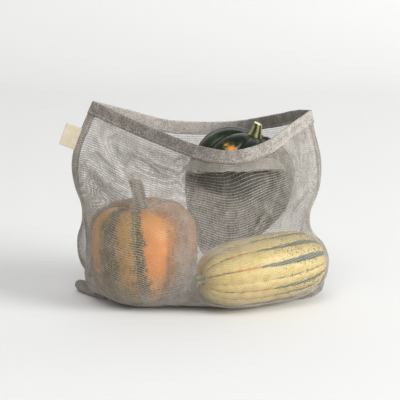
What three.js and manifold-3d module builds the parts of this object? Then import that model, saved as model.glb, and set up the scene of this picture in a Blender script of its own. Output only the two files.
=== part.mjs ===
// A cotton net storage bag, standing open on a table and filled with three winter squashes.
//
// Millimetres, +Z up. The front of the bag faces -Y, its label is at the left (-X) side seam.
// While it is worked out, X = Y = 0 lies between the two lower squashes; at the end the group
// is moved so that its origin is the middle of the bottom of the whole object.

import * as THREE from 'three';
import { mergeVertices } from 'three/addons/utils/BufferGeometryUtils.js';
import Module from 'manifold-3d';

const wasm = await Module();
wasm.setup();

// ---------------------------------------------------------------- driving dimensions

// The cloth of the bag: one thin wall, thicker along the hem, doubled at the side seams.
const CLOTH = {
  wall: 1.2,
  clearance: 1.5,          // room between the inner face and the squashes
  hemHeight: 13,
  hemRelief: 0.7,          // how far the folded hem stands proud of the cloth, outside and inside
  hemStep: 0.3,            // height of the ledge at the hem's lower edge
};

// How finely the cloth is divided, how long it is pulled tight, and how far its own weight
// lowers it at each step of that.
const GRID = { columns: 34, rows: 26, hemRows: 2, relaxSteps: 500, pull: 0.6, weight: 0.12 };
const TABLE = 0;                 // the cloth never goes below this height

// The rim runs from the left corner to the right corner, along the front and along the back.
const LEFT_CORNER = [-118, 22, 221];
const RIGHT_CORNER = [122, 22, 211];
const FRONT_RIM = [
  LEFT_CORNER, [-75, 4, 204], [-40, -14, 192], [0, -34, 180.6], [35, -42, 177],
  [70, -32, 185], [100, -6, 201], RIGHT_CORNER,
];
const BACK_RIM = [
  LEFT_CORNER, [-78, 41, 208], [-37, 62, 194], [10, 84, 188], [45, 88, 189],
  [86, 70, 199], [108, 47, 207], RIGHT_CORNER,
];

// The side seams run down from the corners; the bottom fold lies on the table between their ends.
const LEFT_SEAM = [
  LEFT_CORNER, [-129, 20, 197], [-138, 17, 175], [-142, 13, 151], [-138, 5, 129],
  [-128, -9, 107], [-123, -24, 88], [-124, -30, 62], [-127, -16, 32], [-118, 10, 3],
];
const RIGHT_SEAM = [
  RIGHT_CORNER, [127, 20, 189], [134, 17, 158], [133, 16, 126],
  [121, 19, 94], [124, 22, 78], [140, 26, 54], [142, 28, 32], [133, 34, 3],
];
const BOTTOM_FOLD_DEPTH = 12;   // how far behind X = Y = 0 the bottom fold crosses

// Where the slack cloth stands off the squashes, and where it dips in between them: rounded
// bodies that the cloth passes outside of (billows) or inside of (dips).
const BILLOWS = [
  { centre: [-88, 22, 60], axis: [0, 0, 1], phase: 0, radius: 48, above: 46, below: 46, square: 2 },
  { centre: [114, 24, 19], axis: [0, 0, 1], phase: 0, radius: 24, above: 18, below: 18, square: 2.4 },
];
const DIPS = [
  { centre: [148, 25, 92], axis: [0, 1, 0], phase: 0, radius: 25, above: 75, below: 75, square: 2.2 },
];

// How far the front and the back stand out before the cloth is pulled tight.
const START_BULGE = { low: 128, high: 118 };

// The rolled-up bottom corner that pokes out behind the left side.
const CORNER_ROLL = {
  path: [[-104, 2, 6.2], [-116, 14, 5.2], [-126, 28, 5.4], [-134, 39, 6.8], [-138, 44, 7.2], [-142, 48, 7.2]],
  radii: [4.4, 4.2, 4.8, 6.6, 6.4, 3],
  sides: 12,
  steps: 12,
};

// The woven tag in the left seam: one folded strip, seen flat from the front.
// `fromCorner` is how far down the seam from the rim's corner it starts.
const LABEL = { fromCorner: 31.5, reach: 15.5, height: 25, thickness: 1.4, gap: 1.0 };

// The squashes. Each is a rounded body about its own axis, which runs towards its stem,
// with ribs between grooves, a dimple round the stem and a stem of its own.
// `square` is the exponent of its outline: 2 is an ellipse, more is boxier, less is pointed.
// Where the lower half has another outline, that is `squareBelow`.
const CARNIVAL = {
  name: 'carnival_squash', colour: 0xc98a52,
  centre: [-62.8, -4, 59.5], axis: [-0.04, -0.02, 1], phase: -94,
  radius: 61.3, above: 56.5, below: 58.5, square: 3.3, squareBelow: 2.2,
  ribs: 10, grooveDepth: 0.085, grooveSharpness: 0.55,
  stemDimple: { depth: 12, radius: 20 }, endDimple: { depth: 7, radius: 14 },
  around: 40, along: 18,
};
const ACORN = {
  name: 'acorn_squash', colour: 0x35472f,
  centre: [41.6, 34, 123.7], axis: [0.345, -0.03, 0.885], phase: -78,
  radius: 62.2, above: 64.4, below: 92, square: 2.7, squareBelow: 1.34,
  ribs: 10, grooveDepth: 0.10, grooveSharpness: 0.6,
  stemDimple: { depth: 4, radius: 15 }, endDimple: { depth: 1, radius: 6 },
  around: 40, along: 18,
};
const DELICATA = {
  name: 'delicata_squash', colour: 0xdcc283,
  centre: [69.5, -15.5, 42.2], axis: [-0.865, -0.46, -0.04], phase: 8,
  radius: 37.5, above: 81, below: 73, square: 2.7, squareBelow: 3.2,
  ribs: 10, grooveDepth: 0.05, grooveSharpness: 0.7,
  stemDimple: { depth: 6, radius: 12 }, endDimple: { depth: 3, radius: 10 },
  around: 40, along: 18,
};

// A stem leaves the middle of its squash: `base` is how far along the squash's axis it starts,
// `lean` is how far its tip is pushed sideways, `foot` how far its foot is, and `radii` go from
// its foot to its cut end.
const CARNIVAL_STEM = {
  base: 38, length: 41, lean: [-4.5, -2], radii: [13, 8.6, 7, 7.4, 7.8], lobes: 5, lobeDepth: 0.1,
};
const ACORN_STEM = {
  base: 52.4, length: 22.6, lean: [-5, 0], foot: [-5, 0], radii: [10.5, 9.8, 7.8, 6.2, 5.3],
  lobes: 5, lobeDepth: 0.16,
};
const DELICATA_STEM = {
  base: 66, length: 17, lean: [0, 0], radii: [8, 6, 5, 4.4], lobes: 5, lobeDepth: 0.1,
};

const FINISH = {
  cloth: { color: 0xaaa59d, roughness: 0.95, metalness: 0 },
  label: { color: 0xe8e0cc, roughness: 0.9, metalness: 0 },
  squash: { roughness: 0.45, metalness: 0 },
};

// ---------------------------------------------------------------- small helpers

const vector = ([x, y, z]) => new THREE.Vector3(x, y, z);
const smoothCurve = (points) => new THREE.CatmullRomCurve3(points.map(vector), false, 'centripetal');

function geometryFrom(points, triangles) {
  const geometry = new THREE.BufferGeometry();
  const numbers = points.flatMap((point) => point.toArray());
  geometry.setAttribute('position', new THREE.Float32BufferAttribute(numbers, 3));
  geometry.setIndex(triangles.flat());
  return geometry;
}

// A closed body through a stack of rings, each with the same number of points.
// The rings turn counter-clockwise when seen from the far end of the stack.
function ringSolid(rings) {
  const sides = rings[0].length;
  const middle = (ring) => ring.reduce((sum, p) => sum.add(p), new THREE.Vector3()).divideScalar(sides);
  const points = [middle(rings[0]), ...rings.flat(), middle(rings[rings.length - 1])];
  const at = (ring, side) => 1 + ring * sides + (side % sides);
  const triangles = [];
  for (let side = 0; side < sides; side += 1) {
    triangles.push([0, at(0, side + 1), at(0, side)]);
    triangles.push([points.length - 1, at(rings.length - 1, side), at(rings.length - 1, side + 1)]);
    for (let ring = 0; ring + 1 < rings.length; ring += 1) {
      triangles.push([at(ring, side), at(ring, side + 1), at(ring + 1, side + 1)]);
      triangles.push([at(ring, side), at(ring + 1, side + 1), at(ring + 1, side)]);
    }
  }
  return geometryFrom(points, triangles);
}

function toManifold(geometry) {
  const merged = mergeVertices(geometry, 1e-4);
  return new wasm.Manifold(new wasm.Mesh({
    numProp: 3,
    vertProperties: new Float32Array(merged.attributes.position.array),
    triVerts: new Uint32Array(merged.index.array),
  }));
}

function fromManifold(solid) {
  const mesh = solid.getMesh();
  const geometry = new THREE.BufferGeometry();
  geometry.setAttribute('position', new THREE.BufferAttribute(new Float32Array(mesh.vertProperties), 3));
  geometry.setIndex(new THREE.BufferAttribute(new Uint32Array(mesh.triVerts), 1));
  return geometry;
}

const fuse = (first, second) => fromManifold(toManifold(first).add(toManifold(second)));

function namedMesh(name, geometry, finish) {
  const mesh = new THREE.Mesh(geometry, new THREE.MeshStandardMaterial(finish));
  mesh.name = name;
  return mesh;
}

// ---------------------------------------------------------------- squashes

// The squash's own frame: its axis is local +Z, and `phase` turns its ribs about that axis.
function squashFrame(squash) {
  const upright = new THREE.Vector3(0, 0, 1);
  const turn = new THREE.Quaternion().setFromUnitVectors(upright, vector(squash.axis).normalize());
  turn.multiply(new THREE.Quaternion().setFromAxisAngle(upright, THREE.MathUtils.degToRad(squash.phase)));
  return new THREE.Matrix4().compose(vector(squash.centre), turn, new THREE.Vector3(1, 1, 1));
}

// The exponent of a body's outline, on its stem's side or on the other one.
const outlinePower = (body, up) => (up > 0 ? body.square : body.squareBelow ?? body.square);

// A point of the skin: `polar` runs from the stem (0) to the blossom end (pi).
function skinPoint(squash, polar, around) {
  const up = Math.cos(polar);
  const power = 2 / outlinePower(squash, up);
  const out = Math.abs(Math.sin(polar)) ** power;
  const rib = Math.abs(Math.sin((squash.ribs * around) / 2)) ** squash.grooveSharpness;
  const swell = 1 - squash.grooveDepth * (1 - rib) * out;
  const radius = squash.radius * out * swell;
  const height = Math.sign(up) * Math.abs(up) ** power * (up > 0 ? squash.above : squash.below) * swell;
  const dimple = up > 0 ? squash.stemDimple : squash.endDimple;
  const dip = Math.sign(up) * dimple.depth * Math.exp(-((radius / dimple.radius) ** 2));
  return new THREE.Vector3(radius * Math.cos(around), radius * Math.sin(around), height - dip);
}

function squashSkin(squash) {
  const rings = [];
  for (let ring = 1; ring < squash.along; ring += 1) {
    const polar = Math.PI * (1 - ring / squash.along);
    const points = [];
    for (let side = 0; side < squash.around; side += 1) {
      points.push(skinPoint(squash, polar, (2 * Math.PI * side) / squash.around));
    }
    rings.push(points);
  }
  return ringSolid(rings);
}

// A lobed stem along local +Z, leaning more and more towards its cut end.
function stemSolid(stem) {
  const sides = stem.lobes * 4;
  const foot = stem.foot ?? [0, 0];
  const rings = stem.radii.map((radius, step) => {
    const along = step / (stem.radii.length - 1);
    const points = [];
    for (let side = 0; side < sides; side += 1) {
      const turn = (2 * Math.PI * side) / sides;
      const reach = radius * (1 - stem.lobeDepth * (1 - Math.cos(stem.lobes * turn)) / 2);
      points.push(new THREE.Vector3(
        reach * Math.cos(turn) + stem.lean[0] * along ** 2 + foot[0] * (1 - along),
        reach * Math.sin(turn) + stem.lean[1] * along ** 2 + foot[1] * (1 - along),
        stem.base + stem.length * along,
      ));
    }
    return points;
  });
  return ringSolid(rings);
}

function makeSquash(squash, stem) {
  // The stem leans in the object's own directions, so it is turned back by the ribs' phase.
  const straight = stemSolid(stem).rotateZ(THREE.MathUtils.degToRad(-squash.phase));
  const whole = fuse(squashSkin(squash), straight).applyMatrix4(squashFrame(squash));
  return namedMesh(squash.name, whole, { ...FINISH.squash, color: squash.colour });
}

// ---------------------------------------------------------------- the cloth's shape

// Moves a point of the cloth out of a squash: the cloth spans the ribs, so it meets the
// rounded body through their crests, with room for the wall and the clearance.
function pushOut(point, { body, toLocal, toWorld }) {
  const room = CLOTH.wall + CLOTH.clearance;
  const local = point.clone().applyMatrix4(toLocal);
  const outward = Math.hypot(local.x, local.y) / (body.radius + room);
  const upward = Math.abs(local.z) / ((local.z > 0 ? body.above : body.below) + room);
  const power = outlinePower(body, local.z);
  const depth = (outward ** power + upward ** power) ** (1 / power);
  if (depth > 0 && depth < 1) point.copy(local.divideScalar(depth).applyMatrix4(toWorld));
}

// A plain rounded body round a stem, which the cloth also stays clear of.
function stemGuard(squash, stem) {
  const half = stem.length / 2 + CLOTH.clearance;
  const along = vector(squash.axis).normalize();
  const centre = vector(squash.centre).addScaledVector(along, stem.base + stem.length / 2);
  const radius = stem.radii[1] + Math.hypot(...stem.lean) + CLOTH.clearance;
  const { axis, phase, square } = squash;
  return { centre: centre.toArray(), axis, phase, square, radius, above: half, below: half };
}

// The stretched cloth as a grid: rows go from the bottom fold (0) to the rim, and columns go
// round the bag, along the front from the left seam to the right one and back behind.
function stretchedCloth(bodies) {
  const { columns, rows } = GRID;
  const loop = 2 * columns;
  const curves = {
    left: smoothCurve([...LEFT_SEAM].reverse()),
    right: smoothCurve([...RIGHT_SEAM].reverse()),
    front: smoothCurve(FRONT_RIM),
    back: smoothCurve(BACK_RIM),
  };
  const grid = [];
  for (let row = 0; row <= rows; row += 1) {
    const line = [];
    for (let column = 0; column < loop; column += 1) {
      line.push(startPoint(curves, row / rows, column, columns));
    }
    grid.push(line);
  }
  const obstacles = bodies.map((body) => {
    const toWorld = squashFrame(body);
    return { body, toWorld, toLocal: toWorld.clone().invert() };
  });
  for (let step = 0; step < GRID.relaxSteps; step += 1) relax(grid, obstacles);
  return grid;
}

// Where a point of the cloth is before it is pulled tight.
function startPoint(curves, rise, column, columns) {
  const back = column > columns;
  const across = back ? (2 * columns - column) / columns : column / columns;
  if (across === 0) return curves.left.getPointAt(rise);
  if (across === 1) return curves.right.getPointAt(rise);
  const fold = curves.left.getPointAt(0).lerp(curves.right.getPointAt(0), across).setZ(TABLE);
  fold.y = THREE.MathUtils.lerp(fold.y, BOTTOM_FOLD_DEPTH, Math.sin(Math.PI * across));
  const rim = (back ? curves.back : curves.front).getPointAt(across);
  const out = back ? 1 : -1;
  const low = new THREE.Vector3(fold.x, out * START_BULGE.low, TABLE);
  const high = new THREE.Vector3(rim.x, out * START_BULGE.high, rim.z / 2);
  return new THREE.CubicBezierCurve3(fold, low, high, rim).getPoint(rise);
}

// One step of pulling the cloth tight: every free point moves towards the middle of its
// neighbours, then out of the squashes and up to the table.
function relax(grid, obstacles) {
  const { columns, rows, pull, weight } = GRID;
  const loop = 2 * columns;
  const middle = new THREE.Vector3();
  for (let row = 0; row < rows; row += 1) {
    for (let column = 0; column < loop; column += 1) {
      if (column % columns === 0) continue;
      const mirrored = loop - column;
      if (row === 0 && column > columns) {
        grid[0][column].copy(grid[0][mirrored]);
        continue;
      }
      const below = row === 0 ? grid[1][mirrored] : grid[row - 1][column];
      middle.copy(below).add(grid[row + 1][column])
        .add(grid[row][column - 1]).add(grid[row][(column + 1) % loop]).multiplyScalar(0.25);
      const point = grid[row][column];
      point.lerp(middle, pull);
      point.z -= weight;
      obstacles.forEach((obstacle) => pushOut(point, obstacle));
      point.z = Math.max(point.z, TABLE);
    }
  }
}

// The same cloth with its rows moved so that a hem of the same height runs along the rim,
// with two rows at its lower edge for the ledge.
function withHemRows(grid) {
  const { rows, hemRows } = GRID;
  const result = [];
  const body = rows - hemRows;
  for (let row = 0; row <= rows + 1; row += 1) result.push([]);
  for (let column = 0; column < grid[0].length; column += 1) {
    const line = new THREE.CatmullRomCurve3(grid.map((points) => points[column]));
    const length = line.getLength();
    const hemStart = 1 - CLOTH.hemHeight / length;
    const step = CLOTH.hemStep / length;
    for (let row = 0; row <= rows + 1; row += 1) {
      let along = hemStart + ((row - body - 1) / hemRows) * (1 - hemStart);
      if (row <= body) along = (row / body) * (hemStart - step);
      const point = line.getPointAt(THREE.MathUtils.clamp(along, 0, 1));
      result[row].push(point.setZ(Math.max(point.z, TABLE)));
    }
  }
  return result;
}

// ---------------------------------------------------------------- the bag as a solid

function clothNormals(grid) {
  const loop = 2 * GRID.columns;
  return grid.map((line, row) => line.map((point, column) => {
    const mirrored = (loop - column) % loop;
    const next = grid[row][(column + 1) % loop];
    const previous = grid[row][(column + loop - 1) % loop];
    const above = grid[Math.min(row + 1, grid.length - 1)][column];
    const below = row === 0 ? grid[1][mirrored] : grid[row - 1][column];
    return next.clone().sub(previous).cross(above.clone().sub(below)).normalize();
  }));
}

// The outer face follows the stretched cloth. The inner face lies one wall further in, and
// keeps clear of the side seams, where both layers are one band.
function makeBag(bodies) {
  const grid = withHemRows(stretchedCloth(bodies));
  const normals = clothNormals(grid);
  const hemFrom = GRID.rows - GRID.hemRows + 1;
  const face = (offset) => grid.map((line, row) => line.map((point, column) => {
    const relief = row >= hemFrom ? CLOTH.hemRelief * Math.sign(offset + CLOTH.wall / 2) : 0;
    return point.clone().addScaledVector(normals[row][column], offset + relief);
  }));
  const inner = face(-CLOTH.wall);
  inner.forEach(closeSeams);
  return namedMesh('bag', fuse(shellSolid(face(0), inner), cornerRoll()), FINISH.cloth);
}

// Along a side seam the inner face cuts straight across from the front to the back, so that
// both layers are one band as wide as a column.
function closeSeams(line) {
  [0, GRID.columns].forEach((column) => {
    const next = line[column + 1];
    const previous = line[(column + line.length - 1) % line.length];
    line[column].copy(next).lerp(previous, 0.5);
  });
}

// Joins the two faces along the rim. The bottom row of each face is its fold line, where the
// front and the back share their points.
function shellSolid(outer, inner) {
  const loop = 2 * GRID.columns;
  const rows = outer.length;
  const points = [...outer.flat(), ...inner.flat()];
  const at = (face, row, column) => {
    const wrapped = ((column % loop) + loop) % loop;
    const shared = row === 0 && wrapped > GRID.columns ? loop - wrapped : wrapped;
    return face * rows * loop + row * loop + shared;
  };
  const triangles = [];
  const addTriangle = (a, b, c) => {
    if (a !== b && b !== c && c !== a) triangles.push([a, b, c]);
  };
  const addQuad = (a, b, c, d) => {
    addTriangle(a, b, c);
    addTriangle(a, c, d);
  };
  for (let column = 0; column < loop; column += 1) {
    for (let row = 0; row + 1 < rows; row += 1) {
      addQuad(at(0, row, column), at(0, row, column + 1), at(0, row + 1, column + 1), at(0, row + 1, column));
      addQuad(at(1, row, column), at(1, row + 1, column), at(1, row + 1, column + 1), at(1, row, column + 1));
    }
    const rim = rows - 1;
    addQuad(at(0, rim, column), at(0, rim, column + 1), at(1, rim, column + 1), at(1, rim, column));
  }
  return geometryFrom(points, triangles);
}

// A value from an evenly spaced list, `along` being 0 at its start and 1 at its end.
function alongList(values, along) {
  const spot = along * (values.length - 1);
  const first = Math.min(Math.floor(spot), values.length - 2);
  return THREE.MathUtils.lerp(values[first], values[first + 1], spot - first);
}

function cornerRoll() {
  const { path, radii, sides, steps } = CORNER_ROLL;
  const curve = smoothCurve(path);
  const upright = new THREE.Vector3(0, 0, 1);
  const rings = [];
  for (let step = 0; step <= steps; step += 1) {
    const along = step / steps;
    const radius = alongList(radii, along);
    const side = upright.clone().cross(curve.getTangent(along)).normalize();
    const lift = curve.getTangent(along).cross(side).normalize();
    const ring = [];
    for (let corner = 0; corner < sides; corner += 1) {
      const turn = (2 * Math.PI * corner) / sides;
      const point = curve.getPoint(along)
        .addScaledVector(side, radius * Math.cos(turn))
        .addScaledVector(lift, radius * Math.sin(turn));
      ring.push(point.setZ(Math.max(point.z, TABLE)));
    }
    rings.push(ring);
  }
  return ringSolid(rings);
}

// ---------------------------------------------------------------- the label

function makeLabel() {
  const seam = smoothCurve(LEFT_SEAM);
  const length = seam.getLength();
  const top = seam.getPointAt(LABEL.fromCorner / length);
  const down = seam.getPointAt((LABEL.fromCorner + LABEL.height) / length).sub(top).normalize();
  const out = new THREE.Vector3(0, 1, 0).cross(down).normalize();
  const facing = out.clone().cross(down).normalize();
  const outline = new THREE.Shape();
  outline.moveTo(LABEL.gap, 0);
  outline.lineTo(LABEL.gap + LABEL.reach, 0);
  outline.lineTo(LABEL.gap + LABEL.reach, LABEL.height);
  outline.lineTo(LABEL.gap, LABEL.height);
  outline.closePath();
  const tag = new THREE.ExtrudeGeometry(outline, { depth: LABEL.thickness, bevelEnabled: false });
  tag.deleteAttribute('normal');
  tag.deleteAttribute('uv');
  const placed = mergeVertices(tag).translate(0, 0, -LABEL.thickness / 2);
  placed.applyMatrix4(new THREE.Matrix4().makeBasis(out, down, facing).setPosition(top));
  return namedMesh('label', placed, FINISH.label);
}

// ---------------------------------------------------------------- the whole object

function makeObject() {
  const contents = [[CARNIVAL, CARNIVAL_STEM], [ACORN, ACORN_STEM], [DELICATA, DELICATA_STEM]];
  const kept = contents.flatMap(([squash, stem]) => [squash, stemGuard(squash, stem)]);
  const group = new THREE.Group();
  group.add(makeBag([...kept, ...BILLOWS, ...DIPS]));
  group.add(makeLabel());
  contents.forEach(([squash, stem]) => group.add(makeSquash(squash, stem)));
  const box = new THREE.Box3().setFromObject(group, true);
  const middle = box.getCenter(new THREE.Vector3());
  group.position.set(-middle.x, -middle.y, -box.min.z);
  return group;
}

export default makeObject();
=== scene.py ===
"""A cotton net bag standing open, filled with three squashes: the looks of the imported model.

Shapes are worked out in millimetres in the same model space as the construction, X = Y = 0
lying between the two lower squashes, and are moved onto the frame, in metres, as each mesh
is made.
"""
import math

import bpy
import numpy as np
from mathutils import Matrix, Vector


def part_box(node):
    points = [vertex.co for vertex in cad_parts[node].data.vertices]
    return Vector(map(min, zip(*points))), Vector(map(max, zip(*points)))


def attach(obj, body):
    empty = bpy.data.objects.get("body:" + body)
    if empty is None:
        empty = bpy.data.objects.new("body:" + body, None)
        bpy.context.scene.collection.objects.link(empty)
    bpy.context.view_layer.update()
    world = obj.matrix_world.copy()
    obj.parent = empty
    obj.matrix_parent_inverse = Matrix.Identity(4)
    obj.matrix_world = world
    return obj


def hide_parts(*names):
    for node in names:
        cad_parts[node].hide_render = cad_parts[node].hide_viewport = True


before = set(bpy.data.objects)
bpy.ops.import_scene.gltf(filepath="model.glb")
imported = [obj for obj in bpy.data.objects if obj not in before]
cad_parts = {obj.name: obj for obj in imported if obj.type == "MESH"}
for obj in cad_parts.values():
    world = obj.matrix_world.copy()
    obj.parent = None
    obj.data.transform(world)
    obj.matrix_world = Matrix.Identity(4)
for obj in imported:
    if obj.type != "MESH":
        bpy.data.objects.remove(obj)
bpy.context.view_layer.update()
MM = 0.001

# -------------------- driving dimensions

CLOTH_WALL = 1.2            # the solid wall that stands for the net
CLOTH_CLEARANCE = 1.5       # room between that wall and the squashes
HEM_HEIGHT = 13.0
HEM_THICKNESS = 2.2
SEAM_BANDS = {"left": 9.0, "right": 5.4}    # widths of the sewn bands along the side seams
SEAM_THICKNESS = 0.9
SEAM_INSET = 1.1            # from the net to the middle of a band
TABLE = 0.0

LABEL_FROM_CORNER = 31.5    # along the left seam
LABEL_REACH = 16.5
LABEL_HEIGHT = 25.0
LABEL_LOOP = 1.1            # room between the two layers of the folded tape
LABEL_TAPE = 0.45

ROLL_PATH = ((-104, 2, 6.2), (-116, 14, 5.2), (-126, 28, 5.4), (-134, 39, 6.8),
             (-138, 44, 7.2), (-142, 48, 7.2))
ROLL_RADII = (4.6, 4.4, 4.8, 6.4, 7.0, 6.6)
ROLL_TIP = 0.82             # share of the roll's length where its rounded tip begins

LEFT_CORNER = (-118, 22, 221)
RIGHT_CORNER = (122, 22, 211)
FRONT_RIM = (LEFT_CORNER, (-75, 4, 204), (-40, -14, 192), (0, -34, 180.6), (35, -42, 177),
             (70, -32, 185), (100, -6, 201), RIGHT_CORNER)
BACK_RIM = (LEFT_CORNER, (-78, 41, 208), (-37, 62, 194), (10, 84, 188), (45, 88, 189),
            (86, 70, 199), (108, 47, 207), RIGHT_CORNER)
LEFT_SEAM = (LEFT_CORNER, (-129, 20, 197), (-138, 17, 175), (-142, 13, 151), (-138, 5, 129),
             (-128, -9, 107), (-123, -24, 88), (-124, -30, 62), (-127, -16, 32), (-118, 10, 3))
RIGHT_SEAM = (RIGHT_CORNER, (127, 20, 189), (134, 17, 158), (133, 16, 126), (121, 19, 94),
              (124, 22, 78), (140, 26, 54), (142, 28, 32), (133, 34, 3))
BOTTOM_FOLD_DEPTH = 12
START_BULGE_LOW = 128
START_BULGE_HIGH = 118

# The cloth's grid is made coarse and then refined. There is one warp yarn for each of its columns.
COARSE_COLUMNS = 34
COARSE_ROWS = 26
RELAXING_STEPS = (700, 160, 160, 14)    # on the coarse grid, and after each refinement
PULL = 0.8                  # how far a point moves towards the middle of its neighbours
SINKING = 0.16              # mm a step on the coarse grid
WEFT_ROWS = 88
WARP_RADIUS = 0.155
WEFT_RADIUS = 0.28
CRIMP = 0.08
WEFT_PROUD = 0.13           # how far the weft yarns stand out over the warp yarns
YARN_DRIFT = 0.06           # how far a yarn strays from its place
YARN_UNEVEN = 0.12          # share by which a yarn's thickness varies along it
WEFT_UNEVEN = 0.08          # and that by which it varies from one weft yarn to the next
RESTING_GAP = 1.3           # from a squash to the outside of the net that is pressed on it
CONTACT = (1.03, 1.13)      # in squash sizes: where the net still touches one, and where it is free

# Folds of the panels: points (share of the way across, mm below the rim), height and half
# width in mm. A negative height is a valley.
PANEL_WIDTH = 290.0
FRONT_FOLDS = (
    (((0.16, 27), (0.30, 34), (0.45, 30)), 3.6, 5),
    (((0.18, 41), (0.31, 46), (0.43, 41)), -4.8, 6),
    (((0.02, 60), (0.09, 70), (0.15, 76), (0.25, 82)), 6.0, 6),
    (((0.03, 76), (0.09, 85), (0.16, 92), (0.24, 97)), -6.5, 7),
    (((0.04, 35), (0.09, 45), (0.14, 55), (0.20, 68)), 3.0, 6),
    (((0.08, 26), (0.13, 42), (0.19, 54)), -3.0, 6),
    (((0.955, 75), (0.89, 82), (0.82, 89), (0.79, 93)), 4.5, 3.4),
    (((0.95, 92), (0.90, 102), (0.86, 112), (0.80, 130)), 6.0, 3.4),
    (((0.93, 88), (0.87, 97), (0.84, 106)), -5.0, 3.6),
    (((0.86, 86), (0.82, 95), (0.80, 108)), -4.0, 3),
    (((0.85, 118), (0.81, 124), (0.77, 140)), -2.5, 3),
    (((0.70, 100), (0.735, 84), (0.765, 80)), 2.0, 2.6),
    (((0.74, 104), (0.77, 94), (0.82, 100)), 3.0, 2.8),
    (((0.98, 40), (0.955, 60), (0.94, 74)), -2.0, 5),
    (((0.94, 30), (0.92, 52), (0.93, 70)), 1.8, 5),
)
BACK_FOLDS = (
    (((0.10, 30), (0.25, 48), (0.45, 52)), 2.2, 9),
    (((0.88, 26), (0.70, 52), (0.55, 60)), 2.4, 10),
    (((0.05, 60), (0.18, 86), (0.30, 120)), 2.6, 8),
    (((0.95, 62), (0.84, 90), (0.76, 128)), 2.8, 8),
    (((0.30, 90), (0.50, 112), (0.66, 100)), -2.0, 9),
)
SMALL_FOLDS = 70            # on each panel
# Below the hem the cloth first stands off the acorn squash, then steps back onto it in a crease,
# which fades in over GRIP. At its right end the shelf, the pleat and the thinning fade out.
CREASE = ((0.36, 34), (0.426, 30), (0.485, 26), (0.588, 20.5), (0.713, 27.5), (0.831, 43), (0.93, 50))
GRIP = (0.37, 0.46)
SHELF_END = (0.66, 0.84)
PLEAT_END = (0.75, 0.85)
THINNING_END = (0.79, 0.90)
SHELF_OUT = ((0.05, 0), (0.15, -4), (0.38, -4), (0.47, 0), (0.56, 10), (0.78, 10), (0.88, 4), (0.96, 0))
SHELF_BACK = 28.0
SHELF_FALL = 3.5
SHELF_RETURN = 42.0
PLEAT_DEPTH = 13.0          # of the two layers of net behind the strip, above its crease
PLEAT_LAYERS = (1.3, 2.6)   # how far behind the outer one they lie

# Yarns are thin where a squash stretches the net, and full where it hangs free.
FREE_FULLNESS = ((-130, 1.26), (0, 1.26), (110, 0.90))      # by model X
BACK_FULLNESS = 0.78        # of the back panel, against the front one
PRESSED_FULLNESS = 0.77
ACORN_FULLNESS = ((-20, 0.86), (25, 0.96), (48, 1.2), (95, 1.62))
BOTTOM_GATHER = 0.35        # how much fuller the net is under the left squash
CREASE_FULLNESS = 0.74      # just below the crease
CREASE_REACH = 34.0

STITCH_LENGTH = 2.4
STITCH_STEP = 3.1
STITCH_RADIUS = 0.28
STITCH_DEPTH = 11.0         # of the hem's row of stitches below the rim
STITCH_DENT = 0.8           # half width of the dent that the stitches make


# -------------------- small helpers

def unit(vectors):
    vectors = np.asarray(vectors, float)
    return vectors / np.maximum(np.linalg.norm(vectors, axis=-1, keepdims=True), 1e-9)


def smooth_step(value, start, end):
    share = np.clip((value - start) / (end - start), 0, 1)
    return share * share * (3 - 2 * share)


def read_off(place, stops):
    """The value at a place, between the nearest of some (place, value) stops."""
    return np.interp(place, *zip(*stops))


def rest_on_table(points):
    points[..., 2] = np.maximum(points[..., 2], TABLE)


def circle(side, lift, turns):
    """Unit steps from a line to points round it: a row of them for each of its points."""
    return side[..., None, :] * np.cos(turns)[..., None] + lift[..., None, :] * np.sin(turns)[..., None]


def distances(line):
    """How far each point lies along its line. In a grid each column is a line."""
    steps = np.linalg.norm(np.diff(line, axis=0), axis=-1)
    return np.concatenate([np.zeros_like(steps[:1]), np.cumsum(steps, axis=0)])


def values_at(spots, line, values):
    """`values`, which go with the points of a line, at the given distances along it."""
    reach = distances(line)
    return np.stack([np.interp(spots, reach, values[:, k]) for k in range(3)], -1)


def smooth_curve(points, parts):
    """parts + 1 points, evenly spaced along a centripetal Catmull-Rom curve through `points`."""
    p = np.array(points, float)
    p = np.vstack([2 * p[0] - p[1], p, 2 * p[-1] - p[-2]])
    t = np.linspace(0, 1, 60, endpoint=False)[:, None]
    pieces = []
    for a, b, c, d in zip(p, p[1:], p[2:], p[3:]):
        before, here, after = (math.sqrt(np.linalg.norm(v)) for v in (b - a, c - b, d - c))
        start = ((b - a) / before - (c - a) / (before + here) + (c - b) / here) * here
        end = ((c - b) / here - (d - b) / (here + after) + (d - c) / after) * here
        pieces.append((2 * t**3 - 3 * t**2 + 1) * b + (t**3 - 2 * t**2 + t) * start
                      + (3 * t**2 - 2 * t**3) * c + (t**3 - t**2) * end)
    line = np.vstack([*pieces, p[-2]])
    return values_at(np.linspace(0, distances(line)[-1], parts + 1), line, line)


def soft_noise(rng, count, width):
    """`count` numbers that vary slowly, about as much as a normal deviate."""
    weights = np.hanning(width + 2)[1:-1]
    weights /= math.sqrt((weights**2).sum())
    return np.convolve(rng.standard_normal(count + width - 1), weights, "valid")


# -------------------- squash shapes

def axis_turn(axis, phase):
    """The rotation to model space from a body's own space, where its axis is +Z."""
    x, y, z = unit(axis)
    lean = np.array([[0, 0, x], [0, 0, y], [-x, -y, 0]])
    c, s = math.cos(math.radians(phase)), math.sin(math.radians(phase))
    return (np.eye(3) + lean + lean @ lean / (1 + z)) @ np.array([[c, -s, 0], [s, c, 0], [0, 0, 1]])


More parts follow.
